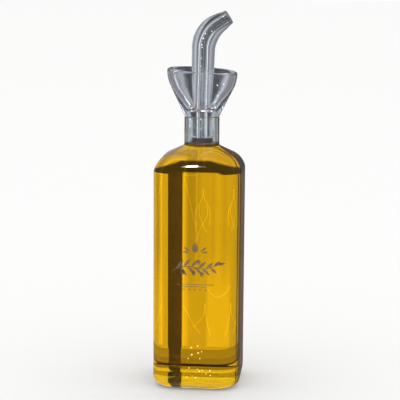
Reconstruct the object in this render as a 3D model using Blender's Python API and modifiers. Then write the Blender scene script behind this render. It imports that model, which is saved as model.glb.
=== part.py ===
"""Square clear oil bottle with a one-piece funnel pourer, filled with oil to the foot of its neck.

Metres, +Z up, origin under the middle of the base. The spout points to +X and the printed face to -Y.
"""

from math import cos, pi, radians, sin, tan

import bmesh
import bpy
from mathutils import Matrix, Vector

# Bottle
BODY_WIDTH = 0.0648
CORNER_RADIUS = 0.0162
WALL = 0.0031
BASE_THICKNESS = 0.0034
HEEL_RADIUS = 0.0075
INNER_HEEL_RADIUS = 0.0046
WALL_TOP = 0.1610
SHOULDER_BREAK = radians(13)
BREAK_RADIUS = 0.0020
SHOULDER_RADIUS = 0.0180
SHOULDER_SLOPE = radians(28)
NECK_RADIUS = 0.0129
NECK_FILLET = 0.0026
NECK_OFFSET = 0.0012
BORE_RADIUS = 0.0099
BORE_FILLET = 0.0031
MOUTH_HEIGHT = 0.2000
MOUTH_ROUNDING = 0.0007

# Oil
OIL_LEVEL = 0.1813
TOUCH_GAP = 0.0003

# Pourer: plug, funnel and spout in one piece
PLUG_LENGTH = 0.0157
PLUG_TAPER = 0.0004
PLUG_CHAMFER = 0.0008
FOOT_RADIUS = 0.0132
FOOT_HEIGHT = 0.0010
FUNNEL_RADIUS = 0.0257
FLARE = radians(26)
FLARE_RADIUS = 0.0240
FUNNEL_RIM = 0.2341
FUNNEL_WALL = 0.0040
FUNNEL_SLANT = radians(3.2)
FUNNEL_FLOOR = 0.2053
FUNNEL_DISH = 0.0025
LIP_RADIUS = 0.0019
LIP_INSIDE = radians(200)
SPOUT_SUNK = 0.0015
SPOUT_FOOT_RADIUS = 0.0065
SPOUT_RADIUS = 0.0085
SPOUT_TIP_RADIUS = 0.0053
SPOUT_BORE = 0.0029
SPOUT_LEAN = radians(1)
BEND_HEIGHT = 0.2492
BEND_RADIUS = 0.0221
BEND_ANGLE = radians(57)
BEND_SWELL = 0.0004
TIP_LENGTH = 0.0104
TIP_NARROWING = 2.5
BORE_RUNS_PAST = 0.0040

# Fineness of the faceted solids
CORNER_STEPS = 8
HEEL_STEPS = 5
BREAK_STEPS = 2
SHOULDER_STEPS = 6
SLOPE_STEPS = 4
FILLET_STEPS = 3
TURN_STEPS = 40
LIP_STEPS = 6
FLARE_STEPS = 3
RISE_STEPS = 4
BEND_STEPS = 10
TUBE_SIDES = 6
BORE_SIDES = 3
SHARP_ANGLE = radians(40)


def clear_scene():
    for obj in list(bpy.data.objects):
        bpy.data.objects.remove(obj, do_unlink=True)


def new_collection(name):
    made = bpy.data.collections.new(name)
    bpy.context.scene.collection.children.link(made)
    return made


def material(name, colour, roughness, ior, transmission):
    made = bpy.data.materials.new(name)
    made.use_nodes = True
    shader = made.node_tree.nodes["Principled BSDF"]
    shader.inputs["Base Color"].default_value = (*colour, 1)
    shader.inputs["Roughness"].default_value = roughness
    shader.inputs["IOR"].default_value = ior
    shader.inputs["Transmission Weight"].default_value = transmission
    return made


def add_object(name, mesh, collection, look=None):
    obj = bpy.data.objects.new(name, mesh)
    collection.objects.link(obj)
    if look:
        mesh.materials.append(look)
        for face in mesh.polygons:
            face.use_smooth = True
        mesh.set_sharp_from_angle(angle=SHARP_ANGLE)
    return obj


def square_ring(z, half, corner, aside):
    """Points of a square of this half width with round corners, a circle where corner equals half."""
    points = []
    reach = corner / cos(pi / 4 / CORNER_STEPS)
    for quarter in range(4):
        turned = Matrix.Rotation(quarter * pi / 2, 3, "Z")
        for step in range(CORNER_STEPS):
            angle = (step + 0.5) / CORNER_STEPS * pi / 2
            across = half - corner + reach * cos(angle)
            along = half - corner + reach * sin(angle)
            points.append(turned @ Vector((across, along, z)) + Vector((aside, 0, 0)))
    return points


def body_rings(half, corner, floor, heel, shoulder, neck, fillet):
    """Rings from the floor over heel, wall and shoulder to the foot of the neck."""
    rings = []
    for step in range(HEEL_STEPS + 1):
        angle = step / HEEL_STEPS * pi / 2
        width = half - heel + heel * sin(angle)
        rings.append((floor + heel - heel * cos(angle), width, corner * width / half, 0))
    low = WALL_TOP + (BREAK_RADIUS - shoulder) * sin(SHOULDER_BREAK)
    edge = half - BREAK_RADIUS + (BREAK_RADIUS - shoulder) * cos(SHOULDER_BREAK)
    top_width = edge + shoulder * sin(SHOULDER_SLOPE)
    top = low + shoulder * cos(SHOULDER_SLOPE)
    foot_width = neck + fillet * (1 - sin(SHOULDER_SLOPE))
    foot = top + (top_width - foot_width) * tan(SHOULDER_SLOPE)
    side = []
    for step in range(BREAK_STEPS):
        angle = step / BREAK_STEPS * SHOULDER_BREAK
        side.append((WALL_TOP + BREAK_RADIUS * sin(angle), half - BREAK_RADIUS * (1 - cos(angle))))
    for step in range(SHOULDER_STEPS + 1):
        angle = SHOULDER_BREAK + step / SHOULDER_STEPS * (pi / 2 - SHOULDER_SLOPE - SHOULDER_BREAK)
        side.append((low + shoulder * sin(angle), edge + shoulder * cos(angle)))
    for step in range(1, SLOPE_STEPS):
        along = step / SLOPE_STEPS
        side.append((top + (foot - top) * along, top_width + (foot_width - top_width) * along))
    for step in range(FILLET_STEPS + 1):
        angle = SHOULDER_SLOPE + step / FILLET_STEPS * (pi / 2 - SHOULDER_SLOPE)
        rise = fillet * (cos(SHOULDER_SLOPE) - cos(angle))
        side.append((foot + rise, neck + fillet * (1 - sin(angle))))
    for z, width in side:
        inward = (half - width) / (half - neck)
        share = corner / half + (1 - corner / half) * inward
        rings.append((z, width, share * width, inward * NECK_OFFSET))
    return rings


def loft(rings):
    """A closed mesh through the rings, with a flat face on the first and the last."""
    bm = bmesh.new()
    loops = [[bm.verts.new(point) for point in square_ring(*ring)] for ring in rings]
    for low, high in zip(loops, loops[1:]):
        for i, corner in enumerate(low):
            after = (i + 1) % len(low)
            bm.faces.new((corner, low[after], high[after], high[i]))
    bm.faces.new(reversed(loops[0]))
    bm.faces.new(loops[-1])
    bmesh.ops.recalc_face_normals(bm, faces=bm.faces)
    mesh = bpy.data.meshes.new("loft")
    bm.to_mesh(mesh)
    bm.free()
    return mesh


def inner_rings(inset):
    """Rings of the hollow, or of what fills it when inset from the wall."""
    return body_rings(
        BODY_WIDTH / 2 - WALL - inset,
        CORNER_RADIUS - WALL,
        BASE_THICKNESS + inset,
        INNER_HEEL_RADIUS,
        SHOULDER_RADIUS - WALL,
        BORE_RADIUS - inset,
        BORE_FILLET,
    )


def bottle_mesh():
    outside = body_rings(
        BODY_WIDTH / 2, CORNER_RADIUS, 0, HEEL_RADIUS, SHOULDER_RADIUS, NECK_RADIUS, NECK_FILLET
    )
    low_mouth = MOUTH_HEIGHT - MOUTH_ROUNDING
    narrow = NECK_RADIUS - MOUTH_ROUNDING
    wide = BORE_RADIUS + MOUTH_ROUNDING
    mouth = [
        (low_mouth, NECK_RADIUS, NECK_RADIUS, NECK_OFFSET),
        (MOUTH_HEIGHT, narrow, narrow, NECK_OFFSET),
        (MOUTH_HEIGHT, wide, wide, NECK_OFFSET),
        (low_mouth, BORE_RADIUS, BORE_RADIUS, NECK_OFFSET),
    ]
    return loft(outside + mouth + inner_rings(0)[::-1])


def oil_mesh():
    """Oil up to its level, a flat face across the foot of the neck."""
    rings = [ring for ring in inner_rings(TOUCH_GAP) if ring[0] < OIL_LEVEL]
    level = (OIL_LEVEL, BORE_RADIUS - TOUCH_GAP, BORE_RADIUS - TOUCH_GAP, NECK_OFFSET)
    return loft(rings + [level])


def pourer_profile():
    """Radius and height from the funnel's floor over its lip and down the plug to the axis."""
    foot = MOUTH_HEIGHT + TOUCH_GAP
    plug_foot = foot - PLUG_LENGTH
    plug = BORE_RADIUS - TOUCH_GAP
    low_plug = plug - PLUG_TAPER
    points = [(0, FUNNEL_FLOOR), (SPOUT_FOOT_RADIUS, FUNNEL_FLOOR)]
    points.append((FOOT_RADIUS - FUNNEL_WALL, FUNNEL_FLOOR + FUNNEL_DISH))
    lip = FUNNEL_RADIUS - LIP_RADIUS
    for step in range(LIP_STEPS + 1):
        angle = LIP_INSIDE * (1 - step / LIP_STEPS)
        points.append((lip + LIP_RADIUS * cos(angle), FUNNEL_RIM - LIP_RADIUS + LIP_RADIUS * sin(angle)))
    for step in range(1, FLARE_STEPS + 1):
        angle = step / FLARE_STEPS * FLARE
        out = FUNNEL_RADIUS - FLARE_RADIUS * (1 - cos(angle))
        points.append((out, FUNNEL_RIM - LIP_RADIUS - FLARE_RADIUS * sin(angle)))
    points += [(FOOT_RADIUS, foot + FOOT_HEIGHT), (FOOT_RADIUS, foot), (plug, foot)]
    points += [(low_plug, plug_foot + PLUG_CHAMFER), (low_plug - PLUG_CHAMFER, plug_foot), (0, plug_foot)]
    return points


def turned_mesh(points):
    """The profile turned about Z, then its cone leant so that the rim slants."""
    bm = bmesh.new()
    verts = [bm.verts.new((radius, 0, z)) for radius, z in points]
    for start, end in zip(verts, verts[1:]):
        bm.edges.new((start, end))
    mesh = bpy.data.meshes.new("profile")
    bm.to_mesh(mesh)
    bm.free()
    obj = bpy.data.objects.new("profile", mesh)
    bpy.context.scene.collection.objects.link(obj)
    screw = obj.modifiers.new("turn", "SCREW")
    screw.steps = screw.render_steps = TURN_STEPS
    screw.use_merge_vertices = True
    screw.merge_threshold = 0.0001
    graph = bpy.context.evaluated_depsgraph_get()
    made = bpy.data.meshes.new_from_object(obj.evaluated_get(graph))
    bpy.data.objects.remove(obj, do_unlink=True)
    foot = MOUTH_HEIGHT + TOUCH_GAP + FOOT_HEIGHT
    for vert in made.vertices:
        if vert.co.xy.length > SPOUT_FOOT_RADIUS + FOOT_HEIGHT:
            share = max(vert.co.z - foot, 0) / (FUNNEL_RIM - foot)
            vert.co.z -= share * tan(FUNNEL_SLANT) * vert.co.x
        vert.co.x += NECK_OFFSET
    return made


def spout_path():
    """Points up the neck, round the bend and out along the tip, each with the spout's radius there."""
    low = Vector((NECK_OFFSET, 0, FUNNEL_FLOOR - SPOUT_SUNK))
    up = Vector((sin(SPOUT_LEAN), 0, cos(SPOUT_LEAN)))
    rise = up * (BEND_HEIGHT - low.z)
    points = []
    for step in range(RISE_STEPS):
        share = step / RISE_STEPS
        radius = SPOUT_FOOT_RADIUS + (SPOUT_RADIUS - SPOUT_FOOT_RADIUS) * sin(share * pi / 2)
        points.append((low + rise * share, radius))
    bend = low + rise
    across = Vector((cos(SPOUT_LEAN), 0, -sin(SPOUT_LEAN)))
    turn = BEND_ANGLE - SPOUT_LEAN
    length = turn * BEND_RADIUS + TIP_LENGTH
    for step in range(BEND_STEPS + 1):
        angle = step / BEND_STEPS * turn
        centre = bend + across * BEND_RADIUS * (1 - cos(angle)) + up * BEND_RADIUS * sin(angle)
        narrowing = (angle * BEND_RADIUS / length) ** TIP_NARROWING * (SPOUT_RADIUS - SPOUT_TIP_RADIUS)
        swell = BEND_SWELL * sin(pi * step / BEND_STEPS)
        points.append((centre, SPOUT_RADIUS + swell - narrowing))
    out = Vector((sin(BEND_ANGLE), 0, cos(BEND_ANGLE)))
    points.append((points[-1][0] + out * TIP_LENGTH, SPOUT_TIP_RADIUS))
    return points


def tube_mesh(points, sides):
    """A round tube with closed ends through the points, from a curve with a bevel."""
    curve = bpy.data.curves.new("path", "CURVE")
    curve.dimensions = "3D"
    curve.bevel_depth = 1
    curve.bevel_resolution = sides
    curve.use_fill_caps = True
    spline = curve.splines.new("POLY")
    spline.points.add(len(points) - 1)
    for point, (centre, radius) in zip(spline.points, points):
        point.co = (*centre, 1)
        point.radius = radius
    obj = bpy.data.objects.new("path", curve)
    bpy.context.scene.collection.objects.link(obj)
    graph = bpy.context.evaluated_depsgraph_get()
    made = bpy.data.meshes.new_from_object(obj.evaluated_get(graph))
    bpy.data.objects.remove(obj, do_unlink=True)
    bm = bmesh.new()
    bm.from_mesh(made)
    bmesh.ops.remove_doubles(bm, verts=bm.verts, dist=1e-6)
    bmesh.ops.recalc_face_normals(bm, faces=bm.faces)
    bm.to_mesh(made)
    bm.free()
    return made


def bore_path():
    """The spout's path at the radius of its bore, run on past the tip and down through the plug."""
    centres = [centre for centre, _ in spout_path()]
    out = (centres[-1] - centres[-2]).normalized()
    below = Vector((NECK_OFFSET, 0, MOUTH_HEIGHT - PLUG_LENGTH - BORE_RUNS_PAST))
    beyond = centres[-1] + out * BORE_RUNS_PAST
    return [(centre, SPOUT_BORE) for centre in [below, *centres, beyond]]


def helper(name, mesh, collection):
    obj = add_object(name, mesh, collection)
    obj.hide_render = True
    obj.display_type = "WIRE"
    return obj


def combine(obj, other, operation):
    step = obj.modifiers.new(other.name, "BOOLEAN")
    step.operation = operation
    step.object = other
    step.solver = "EXACT"


def main():
    clear_scene()
    whole = new_collection("oil_bottle")
    cutters = new_collection("oil_bottle_cutters")
    glass = material("clear_glass", (0.93, 0.95, 0.94), 0.0, 1.5, 1)
    golden = material("golden_oil", (0.80, 0.55, 0.03), 0.0, 1.47, 1)
    add_object("bottle", bottle_mesh(), whole, glass)
    add_object("oil", oil_mesh(), whole, golden)
    pourer = add_object("pourer", turned_mesh(pourer_profile()), whole, glass)
    combine(pourer, helper("spout", tube_mesh(spout_path(), TUBE_SIDES), cutters), "UNION")
    combine(pourer, helper("spout_bore", tube_mesh(bore_path(), BORE_SIDES), cutters), "DIFFERENCE")


main()
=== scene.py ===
from math import atan2, cos, pi, radians, sin, sqrt, tan

import bmesh
import bpy
from mathutils import Matrix, Vector


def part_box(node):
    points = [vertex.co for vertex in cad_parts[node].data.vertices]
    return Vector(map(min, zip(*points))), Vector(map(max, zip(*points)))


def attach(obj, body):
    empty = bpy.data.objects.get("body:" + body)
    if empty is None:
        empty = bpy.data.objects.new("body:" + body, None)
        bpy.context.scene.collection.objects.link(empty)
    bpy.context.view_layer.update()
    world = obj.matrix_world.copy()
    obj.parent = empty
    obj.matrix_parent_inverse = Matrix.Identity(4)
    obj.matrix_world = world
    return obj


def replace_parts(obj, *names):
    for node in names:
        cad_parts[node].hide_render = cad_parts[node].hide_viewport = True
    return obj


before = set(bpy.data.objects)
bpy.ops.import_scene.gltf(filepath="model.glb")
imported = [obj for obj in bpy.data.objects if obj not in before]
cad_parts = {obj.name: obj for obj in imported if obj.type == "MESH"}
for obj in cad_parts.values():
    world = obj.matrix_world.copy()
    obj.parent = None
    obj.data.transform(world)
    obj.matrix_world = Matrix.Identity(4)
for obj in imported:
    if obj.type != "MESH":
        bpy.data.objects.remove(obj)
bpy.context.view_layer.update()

# Fineness of the meshes
BODY_SIDES = 192
TURN_SIDES = 96
ARC_STEPS = 12
SMALL_ARC_STEPS = 4
WALL_STEPS = 12
BREAK_STEPS = 4
SLOPE_STEPS = 8
MOUTH_STEPS = 6
TUBE_STEPS = 10
TIP_STEPS = 8
POST_STEPS = 160
LEAF_STEPS = 24
DROP_STEPS = 32
STALK_STEPS = 3
RULE_STEPS = 20
DROP_ROUNDS = 2
SHARP_ANGLE = radians(50)

# Bottle, metres
BASE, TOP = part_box("bottle")
HALF = (TOP[0] - BASE[0]) / 2
CORNER = HALF / 2
WALL = 0.0031
HEEL = 0.0075
FLOOR_HEIGHT = 0.0034
INNER_HEEL = 0.0046
FLOOR_SHARES = (0.15, 0.4, 0.7, 0.9)
WALL_TOP = 0.1610
SHOULDER = 0.0180
BREAK = radians(13)
BREAK_RADIUS = 0.0020
SLOPE = radians(28)
NECK = 0.0129
NECK_FILLET = 0.0026
NECK_ASIDE = 0.0012
BORE = 0.0099
BORE_FILLET = 0.0031
MOUTH = TOP[2]
MOUTH_ROUNDING = 0.0007

# Oil
OIL_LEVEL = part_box("oil")[1][2]
LEVEL_SHARES = (1, 0.9, 0.5, 0.2)
BELOW_LEVEL = 0.0002
INTO_WALL = 0.00015

# Bubbles in the oil, and drops in the pourer, that glow as painted glints: millimetres across, behind the
# axis and up, and radius
BUBBLE_DEPTH = -28.4
GLINT_BUBBLES = (
    (-2.6, BUBBLE_DEPTH, 32.1, 0.65), (2.1, BUBBLE_DEPTH, 33.4, 0.65), (2.5, BUBBLE_DEPTH, 28.1, 0.65),
    (-2.3, BUBBLE_DEPTH, 26.7, 0.70), (-4.9, BUBBLE_DEPTH, 23.7, 0.45), (3.8, BUBBLE_DEPTH, 24.0, 0.45),
    (5.1, BUBBLE_DEPTH, 29.2, 0.40), (-4.2, BUBBLE_DEPTH, 16.5, 0.50), (3.5, BUBBLE_DEPTH, 14.4, 0.65),
    (5.7, BUBBLE_DEPTH, 14.9, 0.50), (11.2, BUBBLE_DEPTH, 14.9, 0.60), (11.6, BUBBLE_DEPTH, 11.3, 0.50),
    (0.5, BUBBLE_DEPTH, 9.1, 0.55), (-5.8, BUBBLE_DEPTH, 9.5, 0.45), (2.0, BUBBLE_DEPTH, 15.6, 0.40),
    (8.4, BUBBLE_DEPTH, 12.4, 0.40),
)
GLINT_DROPS = (
    (7.9, -1.4, 262.1, 0.40), (3.6, -1.6, 260.4, 0.50), (2.2, -1.8, 257.0, 0.50), (1.0, -1.8, 252.5, 0.55),
    (1.3, -1.9, 250.7, 0.40), (0.7, -1.9, 242.7, 0.35), (0.5, -1.9, 236.9, 0.40), (0.7, -1.9, 198.7, 0.35),
    (0.7, -1.9, 191.3, 0.35), (12.6, -13.8, 225.0, 0.45), (16.5, -9.6, 225.4, 0.40),
    (12.1, -8.6, 217.3, 0.45), (10.4, -6.2, 212.0, 0.40),
)

# Pourer
GAP = 0.0003
FOOT = MOUTH + GAP
PLUG = BORE - GAP
PLUG_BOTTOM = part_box("pourer")[0][2]
PLUG_TAPER = 0.0004
PLUG_ROUNDING = 0.0010
FOOT_RADIUS = 0.0132
FOOT_ROUNDING = 0.0006
FUNNEL = 0.0257
FLARE = radians(26)
FLARE_RADIUS = 0.0240
RIM = 0.2341
LIP = 0.0019
LIP_INSIDE = radians(200)
FUNNEL_WALL = 0.0040
FUNNEL_SLANT = radians(3.2)
SLANT_START = FOOT + 0.0012
FUNNEL_FLOOR = 0.2053
TUBE_FOOT = 0.0065
SLANT_INSIDE = TUBE_FOOT + 0.0015
TUBE_RISE = 0.0015
# The funnel's floor: in from its wall or out from the tube, and up
DISH_BY_WALL = ((0, 0.0025), (0.0020, 0.0006))
DISH_BY_TUBE = ((0.0012, 0), (0.0003, 0.0004))
TUBE = 0.0085
TUBE_TIP = 0.0053
TUBE_BORE = 0.0029
TUBE_LEAN = radians(1)
BEND_HEIGHT = 0.2492
BEND_RADIUS = 0.0221
BEND = radians(57)
BEND_SWELL = 0.0004
NARROWING = 2.5
TIP_LENGTH = 0.0104
TIP_ROUNDING = 0.0006

# Print on the front: its middle and thickness in metres, and its lines and leaves in millimetres
PRINT_HEIGHT = 0.0935
PRINT_THICKNESS = 0.00004
PRINT_BACK = 0.7
LEAF_MERGE = 0.01
TWIG_START = (-16.5, -3.0)
TWIG_RUN = (33, 5.0)
TWIG_SWAY = 1.8
TWIG_STEPS = 40
TWIG_WIDTH = 0.55
TWIG_LEAVES = 11
LEAF_LENGTH = (8.6, -2.6)
LEAF_WIDTH = 2.3
LEAF_LEAN = (52, -14)
END_LEAF = (0.99, radians(14), 6.0, 1.9)
# Fruit: share of the twig and lean in degrees, then the stalk and the size of each
FRUIT = ((0.25, -100), (0.46, -84), (0.67, -96), (0.58, 88))
STALK, STALK_WIDTH = 2.6, 0.35
FRUIT_SIZE = (3.6, 2.7)
DROP_FOOT = (0, 10.5)
DROP_SIZE = (7.5, 4.6)
DROP_FULLNESS = 1.6
DROP_WIDENING = 1.2
# Leaves beside the drop: across, up, lean, length and width
DROP_LEAVES = ((4.2, 11.2, radians(48), 5.2, 1.6), (4.6, 10.4, radians(80), 4.6, 1.4))
# Rules below: height and reach to each side
RULES = ((-13.2, 14), (-14.8, 9))
RULE_WIDTH = 0.45
DOT = 1.2
DOTS_ASIDE = 2
DOT_STEP = 4
DOT_HEIGHT = -17.0

# Finishes
GLASS_IOR = 1.5
OIL_IOR = 1.47
BOTTLE_TINT, BOTTLE_DENSITY = (0.80, 0.95, 0.86), 45
POURER_TINT, POURER_DENSITY = (0.80, 0.90, 0.95), 12
OIL_TINT, OIL_DENSITY = (0.944, 0.890, 0.02), 105
# Painted shade on the oil's level: a dim colour, and how much light still passes
LEVEL_PAINTED_SHADE = (0.16, 0.17, 0.10)
LEVEL_SHADE_CLEARNESS = 0.45
BOTTLE_WAVES = (0.014, 0.00002)
POURER_WAVES = (0.006, 0.00007)
INK_DARK, INK_PALE = (0.18, 0.13, 0.07), (0.23, 0.175, 0.10)
INK_GRAIN = 1 / 900
INK_GRAIN_RANGE = (0.3, 0.7)
INK_COVER = (0.45, 0.66)
# Painted glints: colour and glow strength of the bubbles and drops
BUBBLE_GLINT_GLOW = ((0.90, 0.68, 0.18), 1.3)
DROP_GLINT_GLOW = ((0.78, 0.79, 0.80), 0.9)
DROP_ROUGHNESS = 0.3
INK_ROUGHNESS = 0.6
FLOOR_ROUGHNESS = 0.9

# Camera, fitted to the outline, and how often its rays may turn
CAMERA_AZIMUTH = radians(5.6)
CAMERA_ELEVATION = radians(9.93)
CAMERA_ROLL = radians(0.40)
CAMERA_DISTANCE = 1.077
CAMERA_AIM = (0.00014, 0.13722)
LENS = 130.4
SENSOR_WIDTH = 36
BOUNCES = 24
MIRROR_BOUNCES = 12
CARD_BOUNCES = 16

# Lamps that the shoulder mirrors: place, width and height, and watts
LAMP_AIM = (0.001, -0.03, 0.167)
SHOULDER_LAMP = ((-0.106, -0.600, 0.984), (0.013, 0.07), 1.60)
SOFT_LAMP = ((-0.106, -0.640, 0.984), (0.036, 0.10), 0.05)

# Floor
FLOOR_GAP = 0.0002
FLOOR_REACH = 8
FLOOR_COLOUR = (0.93, 0.93, 0.925)
FLOOR_GLOW = 0.08

# How bright the surroundings look through the glass, by degrees up and round
UP_BANDS = (
    (-89, 0.9), (-46, 1.0), (-36, 1.0), (-32, 0.09), (-18, 0.09), (-16.8, 1.0),
    (-8.3, 1.0), (-7.5, 0.8), (0, 1.2), (10, 1.6), (50, 1.6), (70, 0.8), (89, 2.0),
)
ROUND_BANDS = (
    (-180, 0.5), (-90, 0.2), (-52, 0.15), (-38, 0.9), (-20, 1.0), (50, 1.0), (60, 0.3), (180, 2.0),
)
# How much the bands round count, by degrees up
SIDES_MATTER = ((-90, 0), (-30, 0), (-20, 1), (15, 1), (30, 0), (90, 2))
OIL_GLOW = (1.0, 0.715, 0.50)
# What the glass mirrors, by degrees round
MIRROR_BANDS = (
    (-180, 0.125), (-60, 0.125), (-40, 0.25), (-15, 0.50), (-9, 0.50), (-4, 0.13), (180, 0.125),
)

# Light columns behind the panel by millimetres across, high up and low down
HIGH_COLUMNS = (
    (-17, 1.0), (-15.2, 1.0), (-14.6, 1.6), (-13.9, 1.15), (-13.5, 1.15), (-12, 0.85), (-10.5, 0.70),
    (-6, 0.72), (-5.2, 1.0), (-3.4, 0.85), (-1, 0.98), (6, 1.0), (8, 0.92), (10.5, 1.10), (14, 1.08),
    (16.6, 0.88), (18.5, 1.0), (24, 0.95), (26, 0.75), (29, 2.0),
)
LOW_COLUMNS = (
    (-17, 1.0), (-15.2, 1.1), (-14.6, 1.7), (-13.9, 1.35), (-12.5, 1.35), (-10, 1.02), (2.5, 1.0),
    (4.5, 1.3), (16, 1.3), (18, 1.0), (23, 1.0), (24.5, 1.1), (25.8, 0.6), (29, 2.0),
)
COLUMN_SPAN = (-0.0170, 0.0290)
COLUMN_HEIGHTS = (0.018, 0.153)
COLUMN_CHANGE = (0.050, 0.100)
COLUMN_DEPTH = 0.046

# Bright lines behind the columns, by millimetres across and up
LIGHT_CURVES = (
    ((-14.9, 151.0), (5.0, 151.6), (27.0, 151.2)),
    ((-14.6, 149.6), (-11.5, 136.6), (-8.3, 122.7), (-5.1, 108.1)),
    ((0, 140.7), (-0.7, 133.7), (-3.8, 128.2), (-6.0, 120.4), (-5.2, 112.7)),
    ((0, 140.7), (0.8, 133.8), (3.9, 128.4), (5.5, 120.7), (4.8, 113.0)),
    ((-2.6, 129.0), (-3.0, 122.0), (-0.5, 115.0), (2.6, 108.0)),
    ((2.8, 129.0), (3.4, 122.0), (0.6, 115.0), (-3.2, 107.0), (-4.2, 101.0)),
    ((22.8, 141.2), (22.1, 132.7), (19.9, 127.3), (18.5, 119.5), (19.3, 111.8)),
    ((22.8, 141.2), (23.7, 132.8), (25.2, 127.4), (26.1, 118.2)),
    ((2.9, 66.0), (7.5, 59.1), (13.0, 56.9), (19.1, 60.2), (23.6, 68.2)),
    ((-14.8, 49.7), (-10.9, 42.7), (-6.2, 34.1), (-1.5, 27.9)),
    ((-7.0, 33.3), (-3.1, 36.6), (0.7, 42.3), (2.2, 51.8)),
    ((2.2, 51.8), (3.1, 40.8), (4.7, 32.9), (6.3, 26.6)),
    ((14.8, 26.8), (16.3, 34.0), (17.8, 41.2), (18.4, 52.3)),
    ((18.4, 52.3), (20.0, 44.5), (24.0, 39.1), (27.8, 36.0)),
)
CURVE_WIDTH = 0.00011
CURVE_STEPS = 8
CURVE_DEPTH = COLUMN_DEPTH + 0.001
CURVE_BRIGHTNESS = 1.38

# Dark post behind the glass
POST_ACROSS = -0.0192
POST_DEPTH = 0.058
POST_TOP = 0.162
POST_WIDTH = 0.0042
POST_LOW_WIDTH = 0.0031
POST_WAIST = 0.0125
POST_FOOT = 0.0008
POST_COLOUR = (0.094, 0.060, 0.02)

# Bands of painted shade on the table round the foot, from near to far outside the wall
TABLE_BAND_HEIGHT = 0.00005
SHADOW_LINE_BAND, SHADOW_LINE_COLOUR = (0.0245, 0.0280), (0.03, 0.02, 0.01)
SHADE_BAND, SHADE_BRIGHTNESS = (0.0280, 0.0440), 0.50
HALF_SHADE_BAND, HALF_SHADE_BRIGHTNESS = (0.0440, 0.0680), 0.62

# Ring round the pourer: how bright it is by degrees round, and its form
RING_BANDS = (
    (-180, 0.30), (-110, 0.30), (-90, 0.40), (-85, 1.3), (-75, 1.3), (-67, 0.26), (-38, 0.26),
    (-32, 0.44), (-25, 0.44), (-19, 0.06), (14, 0.06), (21, 0.50), (28, 0.50), (34, 0.24), (65, 0.26),
    (73, 1.5), (85, 1.5), (90, 0.40), (110, 0.30), (180, 2.0),
)
RING_TINT = (0.94, 0.98, 1.07)
RING_RADIUS = 0.10
RING_FOOT = 0.158
RING_TOP = 0.42
RING_HOLE = 0.002
RING_THROAT = 0.0152
RING_THROAT_HEIGHT = 0.1885


def finish_mesh(name, bm, look):
    """The mesh as a smooth piece that rides on the part."""
    bmesh.ops.recalc_face_normals(bm, faces=bm.faces)
    mesh = bpy.data.meshes.new(name)
    bm.to_mesh(mesh)
    bm.free()
    mesh.shade_smooth()
    mesh.set_sharp_from_angle(angle=SHARP_ANGLE)
    mesh.materials.append(look)
    piece = bpy.data.objects.new(name, mesh)
    bpy.context.scene.collection.objects.link(piece)
    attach(piece, "root")
    return piece


def grow(bm, edges):
    """The points and edges of the loop that an extrusion adds to this one."""
    made = bmesh.ops.extrude_edge_only(bm, edges=edges)["geom"]
    verts = [item for item in made if isinstance(item, bmesh.types.BMVert)]
    new = set(verts)
    edges = [item for item in made if isinstance(item, bmesh.types.BMEdge) and new.issuperset(item.verts)]
    return verts, edges


def arc(centre, radius, start, end, steps=ARC_STEPS):
    """Points of an arc in the plane of the axis, as radius and height."""
    points = []
    for step in range(steps + 1):
        angle = start + (end - start) * step / steps
        points.append((centre[0] + radius * cos(angle), centre[1] + radius * sin(angle)))
    return points


# Bottle and oil

def reach(angle, half, corner):
    """Distance from the axis to the side of a square with round corners."""
    across, along = abs(cos(angle)), abs(sin(angle))
    core = half - corner
    if min(across, along) * half <= core * max(across, along):
        return half / max(across, along)
    spread = core * (across + along)
    return spread + sqrt(spread**2 - 2 * core**2 + corner**2)


def body_rings(half, corner, floor, heel, shoulder, neck, fillet):
    """Height, half width, corner radius and offset from the floor to the foot of the neck."""
    rings = []
    for share in FLOOR_SHARES:
        width = (half - heel) * share
        rings.append((floor, width, corner * width / half, 0))
    for step in range(ARC_STEPS + 1):
        angle = step / ARC_STEPS * pi / 2
        width = half - heel + heel * sin(angle)
        rings.append((floor + heel - heel * cos(angle), width, corner * width / half, 0))
    low = floor + heel
    for step in range(1, WALL_STEPS):
        rings.append((low + (WALL_TOP - low) * step / WALL_STEPS, half, corner, 0))
    start = WALL_TOP + (BREAK_RADIUS - shoulder) * sin(BREAK)
    edge = half - BREAK_RADIUS + (BREAK_RADIUS - shoulder) * cos(BREAK)
    top_width = edge + shoulder * sin(SLOPE)
    top = start + shoulder * cos(SLOPE)
    foot_width = neck + fillet * (1 - sin(SLOPE))
    foot = top + (top_width - foot_width) * tan(SLOPE)
    side = []
    for step in range(BREAK_STEPS):
        angle = step / BREAK_STEPS * BREAK
        side.append((WALL_TOP + BREAK_RADIUS * sin(angle), half - BREAK_RADIUS * (1 - cos(angle))))
    for step in range(ARC_STEPS + 1):
        angle = BREAK + step / ARC_STEPS * (pi / 2 - SLOPE - BREAK)
        side.append((start + shoulder * sin(angle), edge + shoulder * cos(angle)))
    for step in range(1, SLOPE_STEPS):
        along = step / SLOPE_STEPS
        side.append((top + (foot - top) * along, top_width + (foot_width - top_width) * along))
    for step in range(ARC_STEPS + 1):
        angle = SLOPE + step / ARC_STEPS * (pi / 2 - SLOPE)
        side.append((foot + fillet * (cos(SLOPE) - cos(angle)), neck + fillet * (1 - sin(angle))))
    for z, width in side:
        inward = (half - width) / (half - neck)
        share = corner / half + (1 - corner / half) * inward
        rings.append((z, width, share * width, inward * NECK_ASIDE))
    return rings


def skin(rings):
    """A closed form extruded from ring to ring, with a flat face at each end."""
    bm = bmesh.new()
    verts = bmesh.ops.create_circle(bm, cap_ends=True, segments=BODY_SIDES, radius=1)["verts"]
    edges = bm.edges[:]
    middle = 0
    for number, (z, half, corner, aside) in enumerate(rings):
        if number:
            verts, edges = grow(bm, edges)
        for vert in verts:
            angle = atan2(vert.co.y, vert.co.x - middle)
            out = reach(angle, half, corner)
            vert.co = (aside + out * cos(angle), out * sin(angle), z)
        middle = aside
    bmesh.ops.contextual_create(bm, geom=edges)
    return bm


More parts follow.
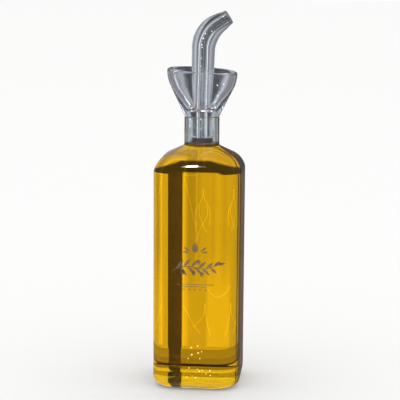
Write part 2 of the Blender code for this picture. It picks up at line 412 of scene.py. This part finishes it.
def mark_wetted(piece, first_ring):
    """Marks the points below the oil's level, from this ring on, where glass and oil touch."""
    wetted = piece.data.attributes.new("wetted", "FLOAT", "POINT")
    for vert in piece.data.vertices:
        inside = vert.index // BODY_SIDES >= first_ring
        wetted.data[vert.index].value = inside and vert.co.z < OIL_LEVEL - INTO_WALL


def make_bottle(look):
    """The outside, over the rounded mouth and down the inside to its floor."""
    outside = body_rings(HALF - PRINT_THICKNESS, CORNER, 0, HEEL, SHOULDER, NECK, NECK_FILLET)
    inside = body_rings(
        HALF - WALL, CORNER - WALL, FLOOR_HEIGHT, INNER_HEEL, SHOULDER - WALL, BORE, BORE_FILLET
    )
    mouth = []
    for step in range(MOUTH_STEPS + 1):
        angle = step / MOUTH_STEPS * pi / 2
        width = NECK - MOUTH_ROUNDING * (1 - cos(angle))
        mouth.append((MOUTH - MOUTH_ROUNDING * (1 - sin(angle)), width, width, NECK_ASIDE))
    for step in range(MOUTH_STEPS + 1):
        angle = step / MOUTH_STEPS * pi / 2
        width = BORE + MOUTH_ROUNDING * (1 - sin(angle))
        mouth.append((MOUTH - MOUTH_ROUNDING * (1 - cos(angle)), width, width, NECK_ASIDE))
    piece = finish_mesh("glass_bottle", skin(outside + mouth + inside[::-1]), look)
    mark_wetted(piece, len(outside + mouth))
    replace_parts(piece, "bottle")


def make_oil(look):
    """Oil to its level, reaching just into the wall so that no air shows between them."""
    rings = body_rings(
        HALF - WALL + INTO_WALL, CORNER - WALL + INTO_WALL, FLOOR_HEIGHT - INTO_WALL,
        INNER_HEEL, SHOULDER - WALL, BORE + INTO_WALL, BORE_FILLET,
    )
    rings = [ring for ring in rings if ring[0] < OIL_LEVEL - BELOW_LEVEL]
    for share in LEVEL_SHARES:
        width = (BORE + INTO_WALL) * share
        rings.append((OIL_LEVEL, width, width, NECK_ASIDE))
    piece = finish_mesh("oil_filling", skin(rings), look)
    mark_wetted(piece, 0)
    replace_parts(piece, "oil")


def make_glint_spheres(name, spots, look):
    """Small round bubbles or drops, as pieces that carry painted glints."""
    bm = bmesh.new()
    for across, behind, height, radius in spots:
        verts = bmesh.ops.create_icosphere(bm, subdivisions=DROP_ROUNDS, radius=radius / 1000)["verts"]
        bmesh.ops.translate(bm, verts=verts, vec=Vector((across, behind, height)) / 1000)
    finish_mesh(name, bm, look)


# Pourer

def pourer_outline():
    """Radius and height from the bore under the plug, over the lip, to the foot of the tube."""
    plug_edge = (PLUG - PLUG_TAPER - PLUG_ROUNDING, PLUG_BOTTOM + PLUG_ROUNDING)
    foot_edge = (FOOT_RADIUS - FOOT_ROUNDING, FOOT + FOOT_ROUNDING)
    points = [(TUBE_BORE, PLUG_BOTTOM)]
    points += arc(plug_edge, PLUG_ROUNDING, -pi / 2, 0, SMALL_ARC_STEPS)
    points += [(PLUG, FOOT - FOOT_ROUNDING), (PLUG + FOOT_ROUNDING, FOOT)]
    points += arc(foot_edge, FOOT_ROUNDING, -pi / 2, 0, SMALL_ARC_STEPS)
    points += arc((FUNNEL - FLARE_RADIUS, RIM - LIP), FLARE_RADIUS, -FLARE, 0)[:-1]
    points += arc((FUNNEL - LIP, RIM - LIP), LIP, 0, LIP_INSIDE)
    points += [(FOOT_RADIUS - FUNNEL_WALL - inward, FUNNEL_FLOOR + up) for inward, up in DISH_BY_WALL]
    points += [(TUBE_FOOT + out, FUNNEL_FLOOR + up) for out, up in DISH_BY_TUBE]
    return points


def tube_rings():
    """Centre, radius and lean of the tube, from the funnel's floor to the tip and back inside."""
    low = Vector((NECK_ASIDE, 0, FUNNEL_FLOOR + TUBE_RISE))
    up = Vector((sin(TUBE_LEAN), 0, cos(TUBE_LEAN)))
    across = Vector((cos(TUBE_LEAN), 0, -sin(TUBE_LEAN)))
    length = BEND_HEIGHT - low.z
    outside = []
    for step in range(TUBE_STEPS):
        share = step / TUBE_STEPS
        radius = TUBE_FOOT + (TUBE - TUBE_FOOT) * sin(share * pi / 2)
        outside.append((low + up * length * share, radius, TUBE_LEAN))
    bend = low + up * length
    turn = BEND - TUBE_LEAN
    whole = turn * BEND_RADIUS + TIP_LENGTH
    for step in range(2 * ARC_STEPS + 1):
        share = step / (2 * ARC_STEPS)
        angle = share * turn
        centre = bend + across * BEND_RADIUS * (1 - cos(angle)) + up * BEND_RADIUS * sin(angle)
        narrowing = (angle * BEND_RADIUS / whole) ** NARROWING * (TUBE - TUBE_TIP)
        outside.append((centre, TUBE + BEND_SWELL * sin(pi * share) - narrowing, TUBE_LEAN + angle))
    out = Vector((sin(BEND), 0, cos(BEND)))
    bend_end, radius, _ = outside[-1]
    for step in range(1, SMALL_ARC_STEPS + 1):
        share = step / SMALL_ARC_STEPS
        centre = bend_end + out * (TIP_LENGTH - TIP_ROUNDING) * share
        outside.append((centre, radius + (TUBE_TIP - radius) * share, BEND))
    tip, radius, _ = outside[-1]
    thick = (radius - TUBE_BORE) / 2
    rounding = []
    for step in range(1, TIP_STEPS + 1):
        angle = step / TIP_STEPS * pi
        radius = TUBE_BORE + thick + thick * cos(angle)
        rounding.append((tip + out * TIP_ROUNDING * sin(angle), radius, BEND))
    inside = [(centre, TUBE_BORE, lean) for centre, _, lean in outside[-2::-1]]
    return outside + rounding + inside


def make_pourer(look):
    """The plug and funnel spun round the axis, and the tube drawn up and back down its bore."""
    bm = bmesh.new()
    outline = [bm.verts.new((radius, 0, z)) for radius, z in pourer_outline()]
    profile = [bm.edges.new(pair) for pair in zip(outline, outline[1:])]
    bmesh.ops.spin(
        bm, geom=outline + profile, axis=(0, 0, 1), angle=2 * pi, steps=TURN_SIDES, use_merge=True
    )
    for vert in bm.verts:
        if vert.co.xy.length > SLANT_INSIDE:
            share = max(vert.co.z - SLANT_START, 0) / (RIM - FOOT)
            vert.co.z -= share * tan(FUNNEL_SLANT) * vert.co.x
        vert.co.x += NECK_ASIDE
    open_edges = [edge for edge in bm.edges if edge.is_boundary]
    under = [edge for edge in open_edges if edge.verts[0].co.z < FOOT]
    edges = [edge for edge in open_edges if edge.verts[0].co.z > FOOT]
    last, upright = Vector((NECK_ASIDE, 0, 0)), Matrix.Identity(3)
    for centre, radius, lean in tube_rings():
        verts, edges = grow(bm, edges)
        turned = Matrix.Rotation(lean, 3, "Y")
        for vert in verts:
            flat = upright @ (vert.co - last)
            angle = atan2(flat.y, flat.x)
            vert.co = centre + turned @ Vector((radius * cos(angle), radius * sin(angle), 0))
        last, upright = centre, turned.inverted()
    bmesh.ops.bridge_loops(bm, edges=edges + under)
    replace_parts(finish_mesh("glass_pourer", bm, look), "pourer")


# Print

def on_face(across, height):
    """A point of the printed side, following its round corners."""
    core = HALF - CORNER
    over = max(abs(across) - core, 0)
    return Vector((across, -core - sqrt(CORNER**2 - over**2), height))


def lay_shape(bm, verts, place=(0, 0), angle=0):
    """Turns a flat shape in millimetres and lays it on the printed side."""
    bmesh.ops.remove_doubles(bm, verts=verts, dist=LEAF_MERGE)
    turned = Matrix.Rotation(angle, 2)
    for vert in verts:
        if vert.is_valid:
            flat = turned @ vert.co.xy
            vert.co = on_face((place[0] + flat.x) / 1000, PRINT_HEIGHT + (place[1] + flat.y) / 1000)


def print_leaf(bm, foot, angle, length, width, pointed=True):
    """A leaf from its foot, or an oval fruit."""
    verts = bmesh.ops.create_circle(bm, cap_ends=True, segments=LEAF_STEPS, radius=1)["verts"]
    for vert in verts:
        taper = sqrt(max(1 - vert.co.x**2, 0)) if pointed else 1
        vert.co = ((vert.co.x + 1) * length / 2, vert.co.y * taper * width / 2, 0)
    lay_shape(bm, verts, foot, angle)


def print_drop(bm, foot, height, width):
    """A falling drop, round below and drawn out to a point above."""
    verts = bmesh.ops.create_circle(bm, cap_ends=True, segments=DROP_STEPS, radius=1)["verts"]
    for vert in verts:
        rise = (vert.co.y + 1) / 2
        taper = sqrt(1 - rise**DROP_FULLNESS) * DROP_WIDENING
        vert.co = (vert.co.x * width / 2 * taper, rise * height, 0)
    lay_shape(bm, verts, foot)


def print_line(bm, points, width):
    """A thin drawn line through the points, in millimetres."""
    steps = len(points) - 1
    verts = bmesh.ops.create_grid(bm, x_segments=steps, y_segments=1, size=1)["verts"]
    for vert in verts:
        index = round((vert.co.x + 1) / 2 * steps)
        here = Vector(points[index])
        along = Vector(points[min(index + 1, steps)]) - Vector(points[max(index - 1, 0)])
        side = Vector((-along.y, along.x)).normalized() * vert.co.y * width / 2
        vert.co = (*(here + side), 0)
    lay_shape(bm, verts)


def twig_point(share):
    """The twig's curve, from its cut end to its tip."""
    across = TWIG_START[0] + TWIG_RUN[0] * share
    return (across, TWIG_START[1] + TWIG_RUN[1] * share + TWIG_SWAY * sin(share * 2 * pi))


def make_print(look):
    """A twig with leaves and fruit, a drop over it and two rules below, printed on the front."""
    bm = bmesh.new()
    print_line(bm, [twig_point(step / TWIG_STEPS) for step in range(TWIG_STEPS + 1)], TWIG_WIDTH)
    for number in range(1, TWIG_LEAVES + 1):
        share = number / (TWIG_LEAVES + 1)
        side = 1 if number % 2 else -1
        lean = side * radians(LEAF_LEAN[0] + LEAF_LEAN[1] * share)
        print_leaf(bm, twig_point(share), lean, LEAF_LENGTH[0] + LEAF_LENGTH[1] * share, LEAF_WIDTH)
    share, lean, length, width = END_LEAF
    print_leaf(bm, twig_point(share), lean, length, width)
    for share, lean in FRUIT:
        foot = Vector(twig_point(share))
        end = foot + Vector((cos(radians(lean)), sin(radians(lean)))) * STALK
        stalk = [foot.lerp(end, step / STALK_STEPS) for step in range(STALK_STEPS + 1)]
        print_line(bm, stalk, STALK_WIDTH)
        print_leaf(bm, end, radians(lean), *FRUIT_SIZE, pointed=False)
    print_drop(bm, DROP_FOOT, *DROP_SIZE)
    for side in (-1, 1):
        for across, height, lean, length, width in DROP_LEAVES:
            print_leaf(bm, (side * across, height), pi / 2 - side * lean, length, width)
    for height, reach_out in RULES:
        rule = [(reach_out * (2 * step / RULE_STEPS - 1), height) for step in range(RULE_STEPS + 1)]
        print_line(bm, rule, RULE_WIDTH)
    for number in range(-DOTS_ASIDE, DOTS_ASIDE + 1):
        print_leaf(bm, (number * DOT_STEP - DOT / 2, DOT_HEIGHT), 0, DOT, DOT, pointed=False)
    sheet = bmesh.ops.extrude_face_region(bm, geom=bm.faces[:])["geom"]
    back = [item for item in sheet if isinstance(item, bmesh.types.BMVert)]
    bmesh.ops.translate(bm, verts=back, vec=(0, PRINT_THICKNESS * PRINT_BACK, 0))
    finish_mesh("front_print", bm, look)


# Finishes

def new_material(name):
    made = bpy.data.materials.new(name)
    made.use_nodes = True
    nodes = made.node_tree.nodes
    return made, nodes, made.node_tree.links, nodes["Principled BSDF"]


def mix_of(nodes, links, factor, low, high):
    """One colour where the factor is 0, and another where it is 1."""
    mixed = nodes.new("ShaderNodeMix")
    mixed.data_type = "RGBA"
    mixed.inputs["A"].default_value = (*low, 1)
    mixed.inputs["B"].default_value = (*high, 1)
    links.new(factor, mixed.inputs["Factor"])
    return mixed.outputs["Result"]


def range_of(nodes, links, value, source, result=(0, 1), interpolation="LINEAR"):
    """A value carried from one range to another."""
    carried = nodes.new("ShaderNodeMapRange")
    carried.interpolation_type = interpolation
    carried.inputs["From Min"].default_value, carried.inputs["From Max"].default_value = source
    carried.inputs["To Min"].default_value, carried.inputs["To Max"].default_value = result
    links.new(value, carried.inputs["Value"])
    return carried.outputs[0]


def noise_of(nodes, links, size, detail):
    """Soft noise on the piece's own coordinates."""
    place = nodes.new("ShaderNodeTexCoord")
    noise = nodes.new("ShaderNodeTexNoise")
    noise.inputs["Scale"].default_value = 1 / size
    noise.inputs["Detail"].default_value = detail
    links.new(place.outputs["Object"], noise.inputs["Vector"])
    return noise.outputs["Fac"]


def fill_glass(nodes, links, shader, ior, colour, density):
    """Clear to look through, with its colour growing with depth."""
    shader.inputs["Base Color"].default_value = (1, 1, 1, 1)
    shader.inputs["Roughness"].default_value = 0.0
    shader.inputs["IOR"].default_value = ior
    shader.inputs["Transmission Weight"].default_value = 1
    depth = nodes.new("ShaderNodeVolumeAbsorption")
    depth.inputs["Color"].default_value = (*colour, 1)
    depth.inputs["Density"].default_value = density
    links.new(depth.outputs["Volume"], nodes["Material Output"].inputs["Volume"])


def add_waves(nodes, links, shader, size, rise):
    """The faint waviness of moulded glass."""
    bump = nodes.new("ShaderNodeBump")
    bump.inputs["Strength"].default_value = 1
    bump.inputs["Distance"].default_value = rise
    links.new(noise_of(nodes, links, size, 1), bump.inputs["Height"])
    links.new(bump.outputs["Normal"], shader.inputs["Normal"])


def dull_where_wetted(nodes, links, shader):
    """No shine where glass and oil touch. Gives the mark of those places on."""
    wetted = nodes.new("ShaderNodeAttribute")
    wetted.attribute_name = "wetted"
    mark = wetted.outputs["Fac"]
    links.new(mix_of(nodes, links, mark, (1, 1, 1), (0, 0, 0)), shader.inputs["Specular Tint"])
    return mark


def bottle_glass():
    made, nodes, links, shader = new_material("bottle_glass")
    fill_glass(nodes, links, shader, GLASS_IOR, BOTTLE_TINT, BOTTLE_DENSITY)
    add_waves(nodes, links, shader, *BOTTLE_WAVES)
    dull_where_wetted(nodes, links, shader)
    return made


def pourer_glass():
    made, nodes, links, shader = new_material("pourer_glass")
    fill_glass(nodes, links, shader, GLASS_IOR, POURER_TINT, POURER_DENSITY)
    add_waves(nodes, links, shader, *POURER_WAVES)
    return made


def golden_oil():
    """Golden oil, clear inside, with a shine and, only on its level, painted shade: a dim skin that lets
    less light through.
    """
    made, nodes, links, shader = new_material("golden_oil")
    fill_glass(nodes, links, shader, OIL_IOR, OIL_TINT, OIL_DENSITY)
    mark = dull_where_wetted(nodes, links, shader)
    clear = range_of(nodes, links, mark, (0, 1), (LEVEL_SHADE_CLEARNESS, 1))
    links.new(clear, shader.inputs["Transmission Weight"])
    links.new(mix_of(nodes, links, mark, LEVEL_PAINTED_SHADE, (1, 1, 1)), shader.inputs["Base Color"])
    return made


def print_ink():
    """Thin etched-looking ink, a little uneven, which the oil shows through."""
    made, nodes, links, shader = new_material("print_ink")
    shader.inputs["Roughness"].default_value = INK_ROUGHNESS
    grain = noise_of(nodes, links, INK_GRAIN, 2)
    links.new(mix_of(nodes, links, grain, INK_DARK, INK_PALE), shader.inputs["Base Color"])
    links.new(range_of(nodes, links, grain, INK_GRAIN_RANGE, INK_COVER), shader.inputs["Alpha"])
    return made


def painted_glint_look(name, colour, strength):
    """A painted glint: the small bubble or drop glows with its own light, in place of light it would
    catch.
    """
    made, nodes, links, shader = new_material(name)
    shader.inputs["Base Color"].default_value = (*colour, 1)
    shader.inputs["Emission Color"].default_value = (*colour, 1)
    shader.inputs["Emission Strength"].default_value = strength
    shader.inputs["Roughness"].default_value = DROP_ROUGHNESS
    return made


def card(name, colour):
    """A card of one even brightness, with no light of its own on the bottle."""
    made, nodes, links, shader = new_material(name)
    shine = nodes.new("ShaderNodeEmission")
    shine.inputs["Color"].default_value = (*colour, 1)
    links.new(shine.outputs[0], nodes["Material Output"].inputs["Surface"])
    return made


def filter_card(name, bright):
    """A see-through card that scales the light passing it."""
    made, nodes, links, shader = new_material(name)
    clear = nodes.new("ShaderNodeBsdfTransparent")
    clear.inputs["Color"].default_value = (bright, bright, bright, 1)
    links.new(clear.outputs[0], nodes["Material Output"].inputs["Surface"])
    return made


def bands_of(nodes, links, value, bands, unit=radians(1)):
    """Brightness by a value, from stops in degrees or another unit."""
    span = bands[-1][0] - bands[0][0]
    share = nodes.new("ShaderNodeMath")
    share.operation = "MULTIPLY_ADD"
    share.inputs[1].default_value = 1 / unit / span
    share.inputs[2].default_value = -bands[0][0] / span
    ramp = nodes.new("ShaderNodeValToRGB")  # its colours end at one, so it holds half of each
    stops = ramp.color_ramp.elements
    for place, bright in bands:
        stop = stops.new((place - bands[0][0]) / span)
        stop.color = (bright / 2, bright / 2, bright / 2, 1)
    stops.remove(stops[0])
    stops.remove(stops[-2])
    twice = nodes.new("ShaderNodeVectorMath")
    twice.operation = "SCALE"
    twice.inputs["Scale"].default_value = 2
    links.new(value, share.inputs[0])
    links.new(share.outputs[0], ramp.inputs[0])
    links.new(ramp.outputs["Color"], twice.inputs[0])
    return twice.outputs[0]


def angle_round(nodes, links, split):
    """Angle about the upright axis, from straight behind towards the right."""
    turn = nodes.new("ShaderNodeMath")
    turn.operation = "ARCTAN2"
    links.new(split.outputs["X"], turn.inputs[0])
    links.new(split.outputs["Y"], turn.inputs[1])
    return turn.outputs[0]


def tinted(nodes, links, colour, tint):
    """A colour times a tint."""
    product = nodes.new("ShaderNodeVectorMath")
    product.operation = "MULTIPLY"
    product.inputs[1].default_value = tint
    links.new(colour, product.inputs[0])
    return product.outputs[0]


def either(nodes, links, factor, first, second):
    """One shader where the factor is 0, and another where it is 1."""
    mixed = nodes.new("ShaderNodeMixShader")
    links.new(factor, mixed.inputs[0])
    links.new(first.outputs[0], mixed.inputs[1])
    links.new(second.outputs[0], mixed.inputs[2])
    return mixed


# Studio

def put_on_stage(piece, floor=False):
    """A piece of the studio. Only what is seen through the glass sees it, unless it is the floor."""
    bpy.context.scene.collection.objects.link(piece)
    piece.visible_transmission = not floor
    piece.visible_glossy = False
    piece.visible_camera = floor
    piece.visible_diffuse = floor
    piece.visible_shadow = floor


def stage_piece(name, bm, look, floor=False):
    """The mesh as a piece of the studio."""
    mesh = bpy.data.meshes.new(name)
    bm.to_mesh(mesh)
    bm.free()
    mesh.materials.append(look)
    put_on_stage(bpy.data.objects.new(name, mesh), floor)


def make_floor():
    """A plain pale floor. What shows through the glass is the studio's own light."""
    made, nodes, links, shader = new_material("pale_floor")
    shader.inputs["Base Color"].default_value = (*FLOOR_COLOUR, 1)
    shader.inputs["Emission Color"].default_value = (1, 1, 1, 1)
    shader.inputs["Emission Strength"].default_value = FLOOR_GLOW
    shader.inputs["Roughness"].default_value = FLOOR_ROUGHNESS
    bm = bmesh.new()
    bmesh.ops.create_grid(bm, x_segments=1, y_segments=1, size=FLOOR_REACH)
    bmesh.ops.translate(bm, verts=bm.verts, vec=(0, 0, -FLOOR_GAP))
    stage_piece("floor", bm, made, floor=True)


def make_post():
    """A thin dark post behind the glass, where its far corner gathers the light."""
    bm = bmesh.new()
    bmesh.ops.create_grid(bm, x_segments=1, y_segments=POST_STEPS, size=0.5)
    for vert in bm.verts:
        height = POST_FOOT + (vert.co.y + 0.5) * (POST_TOP - POST_FOOT)
        width = POST_WIDTH if height > POST_WAIST else POST_LOW_WIDTH
        vert.co = (POST_ACROSS + width * vert.co.x, POST_DEPTH, height)
    stage_piece("dark_post", bm, card("dark_card", POST_COLOUR))


def make_table_band(name, band, look):
    """A flat band of painted shade on the table round the foot."""
    bm = bmesh.new()
    bmesh.ops.create_circle(bm, segments=BODY_SIDES, radius=1)
    rings = [bm.verts[:], grow(bm, bm.edges[:])[0]]
    for verts, out in zip(rings, band):
        for vert in verts:
            angle = atan2(vert.co.y, vert.co.x)
            away = reach(angle, HALF + out, CORNER + out)
            vert.co = (away * cos(angle), away * sin(angle), TABLE_BAND_HEIGHT)
    stage_piece(name, bm, look)


def make_columns():
    """A see-through card behind the panel that parts its light into soft columns."""
    made, nodes, links, shader = new_material("column_card")
    place = nodes.new("ShaderNodeTexCoord")
    split = nodes.new("ShaderNodeSeparateXYZ")
    links.new(place.outputs["Object"], split.inputs[0])
    mixed = nodes.new("ShaderNodeMix")
    mixed.data_type = "RGBA"
    high_up = range_of(nodes, links, split.outputs["Z"], COLUMN_CHANGE, interpolation="SMOOTHSTEP")
    links.new(high_up, mixed.inputs["Factor"])
    for columns, side in ((LOW_COLUMNS, "A"), (HIGH_COLUMNS, "B")):
        links.new(bands_of(nodes, links, split.outputs["X"], columns, unit=0.001), mixed.inputs[side])
    clear = nodes.new("ShaderNodeBsdfTransparent")
    links.new(mixed.outputs["Result"], clear.inputs["Color"])
    links.new(clear.outputs[0], nodes["Material Output"].inputs["Surface"])
    bm = bmesh.new()
    bmesh.ops.create_grid(bm, x_segments=1, y_segments=1, size=0.5)
    width, height = COLUMN_SPAN[1] - COLUMN_SPAN[0], COLUMN_HEIGHTS[1] - COLUMN_HEIGHTS[0]
    bmesh.ops.scale(bm, verts=bm.verts, vec=(width, height, 1))
    bmesh.ops.rotate(bm, verts=bm.verts, matrix=Matrix.Rotation(pi / 2, 3, "X"))
    middle = (sum(COLUMN_SPAN) / 2, COLUMN_DEPTH, sum(COLUMN_HEIGHTS) / 2)
    bmesh.ops.translate(bm, verts=bm.verts, vec=middle)
    stage_piece("light_columns", bm, made)


def make_light_curves():
    """Thin bright lines behind the panel, as light gathered by the bottle draws them."""
    curve = bpy.data.curves.new("light_curves", "CURVE")
    curve.dimensions = "3D"
    curve.bevel_depth = CURVE_WIDTH
    curve.bevel_resolution = 1
    curve.resolution_u = CURVE_STEPS
    for points in LIGHT_CURVES:
        spline = curve.splines.new("BEZIER")
        spline.bezier_points.add(len(points) - 1)
        for point, (across, height) in zip(spline.bezier_points, points):
            point.co = (across / 1000, CURVE_DEPTH, height / 1000)
            point.handle_left_type = point.handle_right_type = "AUTO"
    curve.materials.append(filter_card("curve_card", CURVE_BRIGHTNESS))
    put_on_stage(bpy.data.objects.new("light_curves", curve))


def make_ring():
    """A closed-topped ring round the pourer, grey with paler strips, that shows only from inside."""
    made, nodes, links, shader = new_material("ring_card")
    place = nodes.new("ShaderNodeTexCoord")
    split = nodes.new("ShaderNodeSeparateXYZ")
    links.new(place.outputs["Object"], split.inputs[0])
    bands = bands_of(nodes, links, angle_round(nodes, links, split), RING_BANDS)
    shine = nodes.new("ShaderNodeEmission")
    links.new(tinted(nodes, links, bands, RING_TINT), shine.inputs["Color"])
    outside = nodes.new("ShaderNodeNewGeometry").outputs["Backfacing"]
    shown = either(nodes, links, outside, shine, nodes.new("ShaderNodeBsdfTransparent"))
    links.new(shown.outputs[0], nodes["Material Output"].inputs["Surface"])
    bm = bmesh.new()
    verts = bmesh.ops.create_circle(bm, segments=TURN_SIDES, radius=RING_THROAT)["verts"]
    bmesh.ops.translate(bm, verts=verts, vec=(0, 0, RING_THROAT_HEIGHT))
    edges = bm.edges[:]
    for radius, height in ((RING_RADIUS, RING_FOOT), (RING_RADIUS, RING_TOP), (RING_HOLE, RING_TOP)):
        scale = radius / verts[0].co.xy.length
        rise = height - verts[0].co.z
        verts, edges = grow(bm, edges)
        bmesh.ops.scale(bm, verts=verts, vec=(scale, scale, 1))
        bmesh.ops.translate(bm, verts=verts, vec=(0, 0, rise))
    bmesh.ops.recalc_face_normals(bm, faces=bm.faces)
    halfway = (RING_FOOT + RING_TOP) / 2
    wall = min(bm.faces, key=lambda face: abs(face.calc_center_median().z - halfway))
    if wall.normal.xy.dot(wall.calc_center_median().xy) > 0:
        bmesh.ops.reverse_faces(bm, faces=bm.faces)
    stage_piece("pourer_ring", bm, made)


def make_world():
    """Pale to the eye; through the glass a bright table edge, grey above it and dark below."""
    world = bpy.data.worlds.new("studio")
    world.use_nodes = True
    bpy.context.scene.world = world
    nodes, links = world.node_tree.nodes, world.node_tree.links
    place = nodes.new("ShaderNodeTexCoord")
    split = nodes.new("ShaderNodeSeparateXYZ")
    height = nodes.new("ShaderNodeMath")
    height.operation = "ARCSINE"
    links.new(place.outputs["Generated"], split.inputs[0])
    links.new(split.outputs["Z"], height.inputs[0])
    turn = angle_round(nodes, links, split)
    both = nodes.new("ShaderNodeMix")
    both.data_type = "RGBA"
    both.blend_type = "MULTIPLY"
    links.new(bands_of(nodes, links, height.outputs[0], SIDES_MATTER), both.inputs["Factor"])
    links.new(bands_of(nodes, links, height.outputs[0], UP_BANDS), both.inputs["A"])
    links.new(bands_of(nodes, links, turn, ROUND_BANDS), both.inputs["B"])
    seen = nodes["Background"]
    seen.inputs["Color"].default_value = (1, 1, 1, 1)
    through = nodes.new("ShaderNodeBackground")
    links.new(tinted(nodes, links, both.outputs["Result"], OIL_GLOW), through.inputs["Color"])
    mirrored = nodes.new("ShaderNodeBackground")
    links.new(bands_of(nodes, links, turn, MIRROR_BANDS), mirrored.inputs["Color"])
    path = nodes.new("ShaderNodeLightPath")
    gloss = nodes.new("ShaderNodeMath")
    gloss.operation = "MULTIPLY"
    links.new(path.outputs["Is Glossy Ray"], gloss.inputs[0])
    links.new(path.outputs["Is Reflection Ray"], gloss.inputs[1])
    clear = either(nodes, links, path.outputs["Is Transmission Ray"], seen, through)
    whole = either(nodes, links, gloss.outputs[0], clear, mirrored)
    links.new(whole.outputs[0], nodes["World Output"].inputs["Surface"])


def add_light(name, place, size, power):
    """A soft lamp that shows only as a reflection on the glass."""
    lamp = bpy.data.lights.new(name, "AREA")
    lamp.shape = "ELLIPSE"
    lamp.size, lamp.size_y = size
    lamp.energy = power
    piece = bpy.data.objects.new(name, lamp)
    toward = Vector(LAMP_AIM) - Vector(place)
    piece.matrix_world = Matrix.Translation(place) @ toward.to_track_quat("-Z", "Y").to_matrix().to_4x4()
    piece.visible_camera = False
    piece.visible_diffuse = False
    piece.visible_transmission = False
    bpy.context.scene.collection.objects.link(piece)


def make_camera():
    right = Vector((cos(CAMERA_AZIMUTH), sin(CAMERA_AZIMUTH), 0))
    back = Vector((
        sin(CAMERA_AZIMUTH) * cos(CAMERA_ELEVATION),
        -cos(CAMERA_AZIMUTH) * cos(CAMERA_ELEVATION),
        sin(CAMERA_ELEVATION),
    ))
    up = back.cross(right)
    turn = Matrix((right, up, back)).transposed() @ Matrix.Rotation(CAMERA_ROLL, 3, "Z")
    aim = Vector((0, 0, CAMERA_AIM[1])) + right * CAMERA_AIM[0]
    lens = bpy.data.cameras.new("camera")
    lens.lens = LENS
    lens.sensor_width = SENSOR_WIDTH
    camera = bpy.data.objects.new("camera", lens)
    camera.matrix_world = Matrix.Translation(aim + back * CAMERA_DISTANCE) @ turn.to_4x4()
    bpy.context.scene.collection.objects.link(camera)
    bpy.context.scene.camera = camera


def settle_light():
    """Enough bounces for light to pass through every wall of glass and oil."""
    scene = bpy.context.scene
    scene.view_settings.view_transform = "Standard"
    scene.cycles.max_bounces = BOUNCES
    scene.cycles.transmission_bounces = BOUNCES
    scene.cycles.glossy_bounces = MIRROR_BOUNCES
    scene.cycles.transparent_max_bounces = CARD_BOUNCES


make_bottle(bottle_glass())
make_oil(golden_oil())
# Bubbles and drops that glow as painted glints
make_glint_spheres("oil_bubble_glints", GLINT_BUBBLES, painted_glint_look("bubble_painted_glint", *BUBBLE_GLINT_GLOW))
make_glint_spheres("pourer_drop_glints", GLINT_DROPS, painted_glint_look("drop_painted_glint", *DROP_GLINT_GLOW))
make_print(print_ink())
make_pourer(pourer_glass())
make_floor()
make_post()
# Painted shade on the table round the foot
make_table_band("foot_shadow_line", SHADOW_LINE_BAND, card("foot_shadow_card", SHADOW_LINE_COLOUR))
make_table_band("foot_shade", SHADE_BAND, filter_card("shade_card", SHADE_BRIGHTNESS))
make_table_band("foot_half_shade", HALF_SHADE_BAND, filter_card("half_shade_card", HALF_SHADE_BRIGHTNESS))
make_columns()
make_light_curves()
make_ring()
make_world()
add_light("shoulder_lamp", *SHOULDER_LAMP)
add_light("soft_lamp", *SOFT_LAMP)
make_camera()
settle_light()
